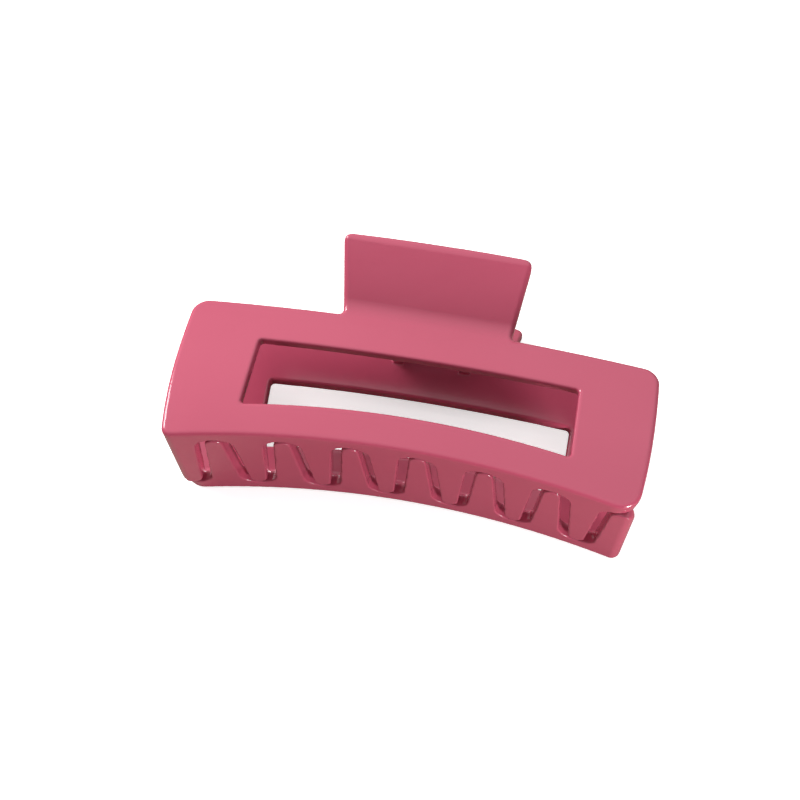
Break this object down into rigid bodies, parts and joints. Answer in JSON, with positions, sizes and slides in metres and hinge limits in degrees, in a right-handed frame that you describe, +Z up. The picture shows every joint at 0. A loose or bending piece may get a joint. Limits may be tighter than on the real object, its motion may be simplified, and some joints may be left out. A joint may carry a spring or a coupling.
{
  "type": "hair claw clip",
  "caption": "Rectangular hair claw clip: windowed curved jaws with interlocking rounded teeth and press tabs, hinged on a pin with a torsion spring.",
  "frame": {"origin": "middle of the clip's length and height, on the surface that the rear jaw lies on", "axes": "+X along the clip's length, +Y from the teeth to the press tabs, +Z up from the rear jaw to the front jaw"},
  "size_m": [0.1044, 0.055, 0.0379],
  "materials": {
    "jaw_plastic": "gloss",
    "wire_steel": "drawn wire"
  },
  "bodies": {
    "rear_half": {"rear_jaw": "jaw_plastic", "hinge_pin": "wire_steel", "torsion_spring": "wire_steel"},
    "front_half": {"front_jaw": "jaw_plastic", "spring_front_arm": "wire_steel"}
  },
  "joints": [
    {"name": "jaw_hinge", "type": "hinge", "parent": "rear_half", "child": "front_half", "pos_m": [0, 0.01006, 0.01836], "axis": [-1, 0, 0], "range_deg": [0, 80], "stiffness_Nm_per_rad": 0.2, "springref_deg": -57.3}
  ]
}
